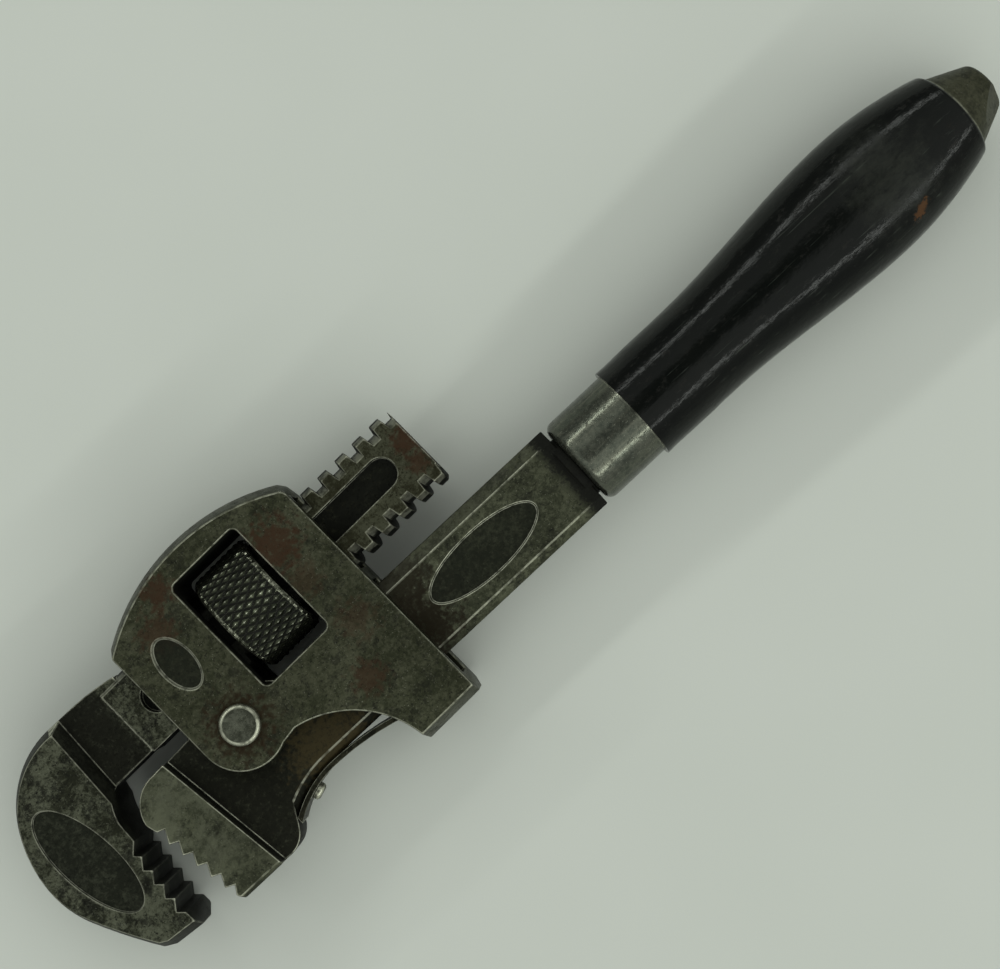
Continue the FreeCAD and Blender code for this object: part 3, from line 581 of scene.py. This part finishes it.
def bar_finish():
    finish = mottled_steel("bar_steel", screen(56, 58, 46), screen(84, 86, 70), pitting=0.7, contrast=0.8)
    along = finish.axis("X") - PIN.x
    low = finish.step(height_over_middle(finish), GROUND_FACE + 0.4, GROUND_FACE)
    hidden = low * finish.step(along + (finish.speckle - 0.5) * 8, 27.0, 22.0)
    scale(finish, hidden)
    heel = finish.step(along, *HEEL_EDGE) * (1 - low)
    patches = finish.step(finish.noise(0.3, detail=7.0, roughness=0.72, shift=17.0), 0.6, 0.42)
    fresh = finish.step(finish.axis("Y") - PIN.y, *HEEL_WORN)
    finish.layer(heel * patches * fresh * 0.6, HEEL_PALE)
    # A brown stain, and the darker patches past the frame's end, laid with the stain's shape.
    for x, y, radius, amount, brown in BAR_MARKS:
        rust(finish, on_bar(x, y), radius, amount, brown)
    panel(finish, on_bar(*BAR_PANEL), BAR_PANEL_SIZE)
    # Painted shade: the upright walls near the heel are made near black.
    shaded_walls = side_walls(finish) * finish.step(along, 2.0, -2.0)
    finish.layer(shaded_walls * 0.85, WALL_SHADE_BLACK, metallic=0.4, roughness=0.6)
    # Painted shadow of the ferrule, and grime, on the bar beside the ferrule.
    ferrule_shade_and_grime = finish.step(along + (finish.speckle - 0.5) * 6, *FERRULE_SHADE_AND_GRIME)
    finish.layer(ferrule_shade_and_grime * 0.95, OIL_AND_SHADE_BLACK, metallic=0.1, roughness=0.7)
    age(finish, wear_and_highlight=1 - ferrule_shade_and_grime, slope_highlight_and_wear=0.55, steepest=0.9)
    return finish.done(Specular_IOR_Level=DULL_SHEEN)


def hook_finish():
    finish = mottled_steel("hook_jaw_steel", screen(42, 43, 34), screen(88, 90, 76), contrast=0.85)
    along = finish.axis("X") - PIN.x
    low = finish.step(height_over_middle(finish), GROUND_FACE - 1.0, GROUND_FACE - 1.6)
    scale(finish, low * finish.step(along + (finish.speckle - 0.5) * 5, -11.0, -14.5))
    shank = finish.step(along, 8.0, 14.0)
    finish.layer(shank * 0.5, SHANK_BROWN, metallic=0.8)
    # The shank's groove gets black scale and painted shade.
    trough = finish.step(height_over_middle(finish), *TROUGH_FLOOR) * finish.step(along, -9.6, -9.0)
    scale(finish, trough, WALL_SHADE_BLACK)
    # Painted shade: the hook's upright walls are made near black.
    finish.layer(side_walls(finish) * 0.8, WALL_SHADE_BLACK, metallic=0.4, roughness=0.6)
    for x, y, radius, amount in SHANK_STAINS:
        rust(finish, on_head(x, y), radius, amount)
    panel(finish, on_head(*HOOK_PANEL), HOOK_PANEL_SIZE, LEAN + HOOK_PANEL_TURN)
    # Painted shade and oil on the part of the shank that lies inside the frame's window at rest.
    shade_and_oil = finish.step(along, *SHADE_AND_OIL_BEGINS) * finish.step(along, *SHADE_AND_OIL_ENDS)
    finish.layer(shade_and_oil * 0.92, OIL_AND_SHADE_BLACK, metallic=0.3, roughness=0.6)
    age(finish, wear_and_highlight=(1 - shade_and_oil) * 0.9, slope_highlight_and_wear=0.34)
    return finish.done(Specular_IOR_Level=DULL_SHEEN)


bar_steel = bar_finish()
hook_steel = hook_finish()
print("bar and hook finishes:", len(bar_steel.node_tree.nodes), len(hook_steel.node_tree.nodes), "nodes")

# %% [markdown]
# ## The small steel pieces
#
# The pin is peened over, and its rim gets wear and a painted highlight. The nut is turned and knurled: its
# tips get wear and painted highlights, and its grooves get black oil and painted shade. Ambient occlusion is
# too soft to tell the two apart on diamonds this small, but the distance from the nut's axis does it exactly.
# The ferrule is drawn from bright sheet, and is worn along its length. The butt nut shows the fine rings that
# turning leaves, and the springs are blued strip.

# %% Pin, nut and spring finishes
NUT_LENGTH = 10.0
NUT_CHAMFER = 0.6
NUT_RADIUS = HALF_HEIGHT
KNURL_DEPTH = 0.4
CREST_HIGHLIGHT_AND_WEAR = screen(150, 152, 136)
BARREL_RIM = 0.05


def rivet_finish():
    finish = mottled_steel("rivet_steel", screen(72, 74, 64), screen(104, 106, 94), pitting=0.5,
                           roughness=0.28, contrast=0.7)
    # The rim gets wear and painted highlights through age().
    age(finish, wear_and_highlight=1.0, wear_and_highlight_reach=0.8, grime_and_shade_reach=1.2, slope_highlight_and_wear=0.8, steepest=0.5)
    return finish.done(Specular_IOR_Level=DULL_SHEEN)


def nut_finish():
    """Crests and grooves are told apart by how far they are from the nut's axis."""
    finish = mottled_steel("nut_steel", screen(40, 43, 33), screen(66, 69, 56), pitting=0.1,
                           roughness=0.16, contrast=0.6)
    local = finish.node("ShaderNodeMapping", {"vector_type": "TEXTURE"},
                        {"Vector": finish.at, "Location": tuple(middle_of("adjusting_nut")),
                         "Rotation": (0.0, 0.0, LEAN)})
    x, y, z = [finish.node("ShaderNodeSeparateXYZ", None, {0: local}, output=axis) for axis in "XYZ"]
    radius = finish.node("ShaderNodeVectorMath", {"operation": "LENGTH"},
                         {0: finish.node("ShaderNodeCombineXYZ", None, {"Y": y, "Z": z})}, output="Value")
    barrel_end = NUT_LENGTH / 2 - NUT_CHAMFER
    barrel = finish.step(x.abs(), barrel_end + BARREL_RIM, barrel_end - BARREL_RIM)
    crest_highlight_and_wear = finish.step(radius, NUT_RADIUS - 0.35 * KNURL_DEPTH, NUT_RADIUS) * barrel
    groove = finish.step(radius, NUT_RADIUS - 0.4 * KNURL_DEPTH, NUT_RADIUS - 0.85 * KNURL_DEPTH) * barrel
    # Painted highlights and wear on the crests, and oil and painted shade in the grooves.
    finish.layer(crest_highlight_and_wear * 0.75, CREST_HIGHLIGHT_AND_WEAR, roughness=0.2)
    finish.layer(groove * 0.92, OIL_AND_SHADE_BLACK, metallic=0.2, roughness=0.6)
    # Wear and a painted highlight on the chamfers at the ends.
    rim = finish.step(radius, NUT_RADIUS - 1.6 * NUT_CHAMFER, NUT_RADIUS - NUT_CHAMFER) * (1 - barrel)
    finish.layer(rim * finish.step(finish.speckle, 0.4, 0.62) * 0.45, HIGHLIGHT_AND_WEAR_BRIGHT, roughness=0.3)
    age(finish, grime_and_shade_reach=0.5, grime_and_shade=0.8, wear_and_highlight_reach=0.2, wear_and_highlight=1.0)
    return finish.done(Specular_IOR_Level=DULL_SHEEN)


def spring_finish():
    finish = mottled_steel("spring_steel", screen(30, 30, 23), screen(50, 49, 39), pitting=0.8)
    age(finish, wear_and_highlight=0.7, wear_and_highlight_reach=0.2)
    return finish.done(Specular_IOR_Level=DULL_SHEEN)


rivet_steel, nut_steel, spring_steel = rivet_finish(), nut_finish(), spring_finish()
print("small finishes:", rivet_steel.name, nut_steel.name, spring_steel.name)

# %% Ferrule and butt finishes
DRAWN_BRIGHT = screen(120, 119, 106)
TURNED_BRIGHT = screen(96, 95, 80)


def ferrule_finish():
    finish = mottled_steel("ferrule_steel", screen(70, 74, 67), screen(98, 100, 90), pitting=0.35,
                           roughness=0.19, contrast=0.5)
    drawn = finish.noise(1.0, detail=4.0, stretch=(0.12, 1.6, 1.6))
    finish.layer(finish.step(drawn, 0.45, 0.7) * 0.35, DRAWN_BRIGHT)
    finish.raise_by(drawn * 0.006)
    age(finish, wear_and_highlight=0.5, grime_and_shade_reach=1.0)
    return finish.done(Specular_IOR_Level=DULL_SHEEN)


def butt_finish():
    finish = mottled_steel("butt_steel", screen(56, 57, 45), screen(78, 78, 63), pitting=0.7, contrast=0.7)
    rings = finish.noise(1.0, detail=2.0, stretch=(3.0, 0.05, 0.05))
    finish.layer(finish.step(rings, 0.5, 0.65) * 0.15, TURNED_BRIGHT)
    finish.raise_by(rings * 0.015)
    age(finish, wear_and_highlight=0.4)
    return finish.done(Specular_IOR_Level=DULL_SHEEN)


ferrule_steel, butt_steel = ferrule_finish(), butt_finish()
print("turned and drawn finishes:", ferrule_steel.name, butt_steel.name)

# %% [markdown]
# ## Black painted wood
#
# The handle is turned hardwood under thick black enamel. The shader's coat layer could make the gloss, but
# a coat stays smooth where the enamel below it is dented, so its highlights would be ruler-straight. One
# glossy layer with relief is closer: its dents break the lines of light. Use has dulled it in places, so
# the roughness varies: a dull band at the ferrule, a hazy patch on the belly, dirt, and fine scratches that
# run along the grain. One chip near the butt shows the wood.

# %% Wood finish
GLOSSY = 0.1
DULL = 0.6
PAINT_SHEEN = 0.16
PAINT_WORN = screen(14, 15, 12)
PAINT_DIRT = screen(34, 31, 25)
SCRATCH_GREY = screen(70, 76, 68)
NECK_BAND = (72.5, 66.0)
NECK_DIRT = screen(34, 32, 26)
HAZE_AT = (124.0, -6.6)
HAZE_RADIUS = 9.5
HAZE_GREY = screen(50, 52, 46)
CHIP_AT = (124.6, -13.1)
CHIP_SIZE = (2.2, 0.8)
CHIP_TURN = math.radians(20)
BARE_WOOD = screen(84, 54, 28)


def wood_finish():
    finish = Finish("black_wood", screen(4, 7, 5), 0.0, GLOSSY)
    along = finish.axis("X") - PIN.x
    worn = finish.noise(0.16, detail=6.0, roughness=0.66, stretch=(0.6, 1.0, 1.0))
    grime_and_shade = finish.noise(0.9, detail=7.0, roughness=0.78, stretch=(0.5, 1.0, 1.0), shift=2.0)
    finish.layer(finish.step(worn, 0.42, 0.62) * 0.4, PAINT_WORN)
    finish.layer(finish.step(grime_and_shade, 0.54, 0.68) * 0.3, PAINT_DIRT)
    scratches = finish.step(finish.noise(1.0, detail=6.0, stretch=(0.07, 2.4, 2.4), shift=9.0), 0.6, 0.72)
    scratches = scratches * finish.step(finish.noise(0.25, shift=14.0), 0.4, 0.6)
    finish.layer(scratches * 0.35, SCRATCH_GREY, roughness=0.6)
    neck_band = finish.step(along + (worn - 0.5) * 12, *NECK_BAND)
    belly_haze = finish.blot(on_bar(*HAZE_AT), HAZE_RADIUS, ragged=0.7, scale=0.3)
    finish.layer(neck_band * 0.75, NECK_DIRT)
    finish.layer(belly_haze * finish.step(grime_and_shade, 0.3, 0.6) * 0.4, HAZE_GREY)
    ragged = (finish.noise(1.8, detail=6.0, roughness=0.75) - 0.5) * 2.4
    chip = finish.step(finish.reach(on_bar(*CHIP_AT), CHIP_SIZE, CHIP_TURN) + ragged, 0.95, 0.6)
    chip = chip * finish.step(finish.axis("Z"), HALF_HEIGHT, HALF_HEIGHT + 1)
    finish.layer(chip * 0.75, BARE_WOOD, roughness=0.7)
    dull = (neck_band * 0.85).most(belly_haze * 0.4).most(chip).most(finish.step(grime_and_shade, 0.5, 0.7) * 0.8)
    finish.roughness = GLOSSY + dull.most(scratches * 0.6) * (DULL - GLOSSY)
    finish.raise_by(finish.noise(1.0, detail=4.0, stretch=(0.09, 1.2, 1.2), shift=4.0) * 0.03)
    finish.raise_by(finish.noise(0.3, detail=4.0, roughness=0.5) * 0.11)
    finish.raise_by(grime_and_shade * 0.012)
    finish.raise_by(chip * -0.08)
    return finish.done(Specular_IOR_Level=PAINT_SHEEN)


black_wood = wood_finish()
print("wood finish:", len(black_wood.node_tree.nodes), "nodes")

# %% [markdown]
# ## Rounded edges
#
# The construction model has knife-sharp edges, and no real forging has. An edge needs a radius of only a
# tenth of a millimetre or two to catch a line of light. The bevel modifier gives it that, but it needs
# joined faces: so a copy of the node is merged, its flat triangles are dissolved into large faces, and then
# only edges that really turn are rounded. Where many edges meet, the bevel can throw a point off, so any
# point that ends up too far out goes back to the unrounded surface. The node itself stays as it is and is
# replaced by the copy.

# %% Rounded copies
MERGE_DISTANCE = 1e-6
FLAT_ANGLE = math.radians(0.4)
SHARP_ANGLE = math.radians(20.0)
STRAY_SHARE = 0.8


def finished_mesh(piece):
    """Turns a piece and its modifiers into one plain mesh."""
    depsgraph = bpy.context.evaluated_depsgraph_get()
    mesh = bpy.data.meshes.new_from_object(piece.evaluated_get(depsgraph))
    piece.modifiers.clear()
    piece.data = mesh
    return piece


def merged_copy(node, name):
    """A copy of a node's mesh whose triangles are joined."""
    mesh = nodes[node].data.copy()
    work = bmesh.new()
    work.from_mesh(mesh)
    bmesh.ops.remove_doubles(work, verts=work.verts, dist=MERGE_DISTANCE)
    bmesh.ops.dissolve_limit(work, angle_limit=FLAT_ANGLE, verts=work.verts, edges=work.edges)
    work.to_mesh(mesh)
    work.free()
    mesh.materials.clear()
    piece = bpy.data.objects.new(name, mesh)
    bpy.context.scene.collection.objects.link(piece)
    return piece


def pull_back(piece, surface, radius):
    """Moves points that the bevel threw off at a crowded corner back to the surface they came from."""
    strays = 0
    for vertex in piece.data.vertices:
        nearest, _, _, distance = surface.find_nearest(vertex.co)
        if distance > radius * MM:
            vertex.co = nearest
            strays += 1
    print(piece.name, "stray points pulled back:", strays)


def rounded_copy(node, name, radius):
    piece = merged_copy(node, name)
    sharp = bmesh.new()
    sharp.from_mesh(piece.data)
    surface = BVHTree.FromBMesh(sharp)
    sharp.free()
    bevel = piece.modifiers.new("edges", "BEVEL")
    bevel.width = radius * MM
    bevel.segments = 2
    bevel.limit_method = "ANGLE"
    bevel.angle_limit = SHARP_ANGLE
    bevel.use_clamp_overlap = False
    bevel.harden_normals = True
    for polygon in piece.data.polygons:
        polygon.use_smooth = True
    finished_mesh(piece)
    pull_back(piece, surface, STRAY_SHARE * radius)
    return piece


def count_open_edges(piece):
    work = bmesh.new()
    work.from_mesh(piece.data)
    count = sum(1 for edge in work.edges if not edge.is_manifold)
    work.free()
    return count


forgings = {}
for node, body, slot, radius, finish in (("bar", "bar", "forged_steel", 0.18, bar_steel),
                                         ("frame", "frame", "forged_steel", 0.22, frame_steel),
                                         ("hook_jaw", "hook_jaw", "forged_steel", 0.12, hook_steel)):
    piece = rounded_copy(node, node + "_rounded", radius)
    piece.data.materials.append(finish)
    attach(piece, body)
    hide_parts(node)
    forgings[node] = piece
    print(piece.name, len(piece.data.polygons), "faces, open edges:", count_open_edges(piece))

# %% [markdown]
# ## The knurled nut
#
# A knurl is two families of V-grooves that wind round a barrel in opposite directions and leave rows of
# small diamonds. Modelling each diamond would be slow, and a bump map would leave the rim smooth. A blank
# with a fine grid is easier: Geometry Nodes push every point of it in, down to the lowest groove that
# passes there. The thread inside follows the same idea the other way round, and its pitch and phase are
# those of the jaw's shank, so that the two don't touch.

# %% The nut's blank
BORE_RADIUS = 5.9
DIAMONDS_AROUND = 38
STEPS_PER_DIAMOND = 10
BARREL_STEPS = 38
BORE_STEPS = 50
END_STEPS = 3


def spread(first, last, count):
    """Evenly spaced points from first towards last, without the last one."""
    return [tuple(a + (b - a) * index / count for a, b in zip(first, last)) for index in range(count)]


def nut_section():
    """The nut's cross-section as a closed loop of (distance along the axis, radius)."""
    half, edge = NUT_LENGTH / 2, NUT_LENGTH / 2 - NUT_CHAMFER
    corners = [(-edge, NUT_RADIUS), (edge, NUT_RADIUS), (half, NUT_RADIUS - NUT_CHAMFER), (half, BORE_RADIUS),
               (-half, BORE_RADIUS), (-half, NUT_RADIUS - NUT_CHAMFER)]
    steps = [BARREL_STEPS, 2, END_STEPS, BORE_STEPS, END_STEPS, 2]
    loop = []
    for corner, following, count in zip(corners, corners[1:] + corners[:1], steps):
        loop += spread(corner, following, count)
    return loop


def nut_blank():
    """The section turned about X, in millimetres, as a closed ring of quads."""
    around = DIAMONDS_AROUND * STEPS_PER_DIAMOND
    section = nut_section()
    points = []
    for turn in range(around):
        angle = 2 * math.pi * turn / around
        points += [(x, r * math.cos(angle), r * math.sin(angle)) for x, r in section]
    faces = []
    size = len(section)
    for turn in range(around):
        for place in range(size):
            here, there = turn * size, (turn + 1) % around * size
            after = (place + 1) % size
            faces.append((here + place, there + place, there + after, here + after))
    mesh = bpy.data.meshes.new("nut_blank")
    mesh.from_pydata(points, [], faces)
    return mesh


blank = nut_blank()
print("nut blank:", len(blank.vertices), "points")

# %% The knurl and the thread
KNURL_LENGTH = (NUT_LENGTH - 2 * NUT_CHAMFER) * STEPS_PER_DIAMOND / BARREL_STEPS
THREAD_DEPTH = 1.6
THREAD_CREST = 1.1
THREAD_FLANK = (1.5, 1.15)
FACET_ANGLE = math.radians(24.0)


def knurl_tree():
    """Cuts the knurl into the outside of a blank and the thread into its bore."""
    group = bpy.data.node_groups.new("knurl_and_thread", "GeometryNodeTree")
    sockets = {"Blank": ("INPUT", "NodeSocketGeometry"), "Diamonds": ("INPUT", "NodeSocketFloat"),
               "Diamond Length": ("INPUT", "NodeSocketFloat"), "Knurl Depth": ("INPUT", "NodeSocketFloat"),
               "Pitch": ("INPUT", "NodeSocketFloat"), "Thread Phase": ("INPUT", "NodeSocketFloat"),
               "Finish": ("INPUT", "NodeSocketMaterial"), "Nut": ("OUTPUT", "NodeSocketGeometry")}
    identifiers = {name: group.interface.new_socket(name, in_out=way, socket_type=kind).identifier
                   for name, (way, kind) in sockets.items()}
    tree = Tree(group)
    given = group.nodes.new("NodeGroupInput")
    value = {name: Value(tree, given.outputs[name]) for name in sockets if sockets[name][0] == "INPUT"}
    place = tree.node("GeometryNodeInputPosition")
    x, y, z = [tree.node("ShaderNodeSeparateXYZ", None, {0: place}, output=axis) for axis in "XYZ"]
    turn = x.math("ARCTAN2", z, y) / (2 * math.pi)
    radius = tree.node("ShaderNodeVectorMath", {"operation": "LENGTH"},
                       {0: tree.node("ShaderNodeCombineXYZ", None, {"Y": y, "Z": z})}, output="Value")
    families = [(turn * value["Diamonds"] + x / value["Diamond Length"] * way).to_nearest_whole() * 2
                for way in (1, -1)]
    groove = 1 - families[0].least(families[1])
    knurled = radius.least(NUT_RADIUS - value["Knurl Depth"] * groove)
    along_thread = ((x - value["Thread Phase"]) / value["Pitch"] - turn).to_nearest_whole() * value["Pitch"]
    threaded = radius.most(BORE_RADIUS + tree.step(along_thread, *THREAD_FLANK) * THREAD_DEPTH)
    outside = tree.node("ShaderNodeMath", {"operation": "GREATER_THAN"}, {0: radius, 1: BORE_RADIUS + 1.0})
    inside = tree.node("ShaderNodeMath", {"operation": "LESS_THAN"}, {0: radius, 1: BORE_RADIUS + 0.01})
    wanted = radius + (knurled - radius) * outside + (threaded - radius) * inside
    share = wanted / radius
    moved = tree.node("ShaderNodeCombineXYZ", None, {"X": x, "Y": y * share, "Z": z * share})
    cut = tree.node("GeometryNodeSetPosition", None, {"Geometry": value["Blank"], "Position": moved})
    real = tree.node("GeometryNodeRealizeInstances", None, {"Geometry": cut})
    painted = tree.node("GeometryNodeSetMaterial", None, {"Geometry": real, "Material": value["Finish"]})
    tree.node("NodeGroupOutput", None, {"Nut": painted})
    return group, identifiers


def knurled_nut():
    piece = bpy.data.objects.new("adjusting_nut_knurled", blank)
    bpy.context.scene.collection.objects.link(piece)
    group, identifiers = knurl_tree()
    modifier = piece.modifiers.new("knurl", "NODES")
    modifier.node_group = group
    for name, setting in {"Diamonds": float(DIAMONDS_AROUND), "Diamond Length": KNURL_LENGTH,
                          "Knurl Depth": KNURL_DEPTH, "Pitch": THREAD_PITCH,
                          "Thread Phase": THREAD_CREST - NUT_MIDDLE[0], "Finish": nut_steel}.items():
        modifier[identifiers[name]] = setting
    finished_mesh(piece)
    centre = middle_of("adjusting_nut")
    piece.data.transform(Matrix.Scale(MM, 4) @ Matrix.Translation(centre) @ Matrix.Rotation(LEAN, 4, "Z"))
    piece.data.set_sharp_from_angle(angle=FACET_ANGLE)
    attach(piece, "adjusting_nut")
    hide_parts("adjusting_nut")
    return piece


nut = knurled_nut()
print(nut.name, len(nut.data.polygons), "faces, open edges:", count_open_edges(nut))

# %% [markdown]
# ## The springs
#
# Each spring is a merged copy of its node in spring steel, which takes the node's place.

# %% Springs
STRIP_EDGE_ANGLE = math.radians(30.0)


def bending_copy(node):
    """A merged copy of a spring node in spring steel, which takes the node's place."""
    piece = merged_copy(node, node + "_leaf")
    piece.data.materials.append(spring_steel)
    piece.data.set_sharp_from_angle(angle=STRIP_EDGE_ANGLE)
    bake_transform(piece)
    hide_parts(node)
    return piece


heel_low, heel_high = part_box("heel_spring")
heel_leaf = bending_copy("heel_spring")
front_leaf = bending_copy("front_spring")
print("springs:", heel_leaf.name, front_leaf.name)

# %% [markdown]
# ## The pieces that keep their shape
#
# The pin, the rivet, the ferrule, the handle and the butt nut are right as they are: they only need their
# finish. Their material slot is overwritten, and their meshes aren't touched.

# %% Carried pieces
for node, finish in {"frame_pin": rivet_steel, "spring_rivet": rivet_steel, "ferrule": ferrule_steel,
                     "handle": black_wood, "butt_nut": butt_steel}.items():
    nodes[node].material_slots[0].material = finish
    print(node, "now has", finish.name)
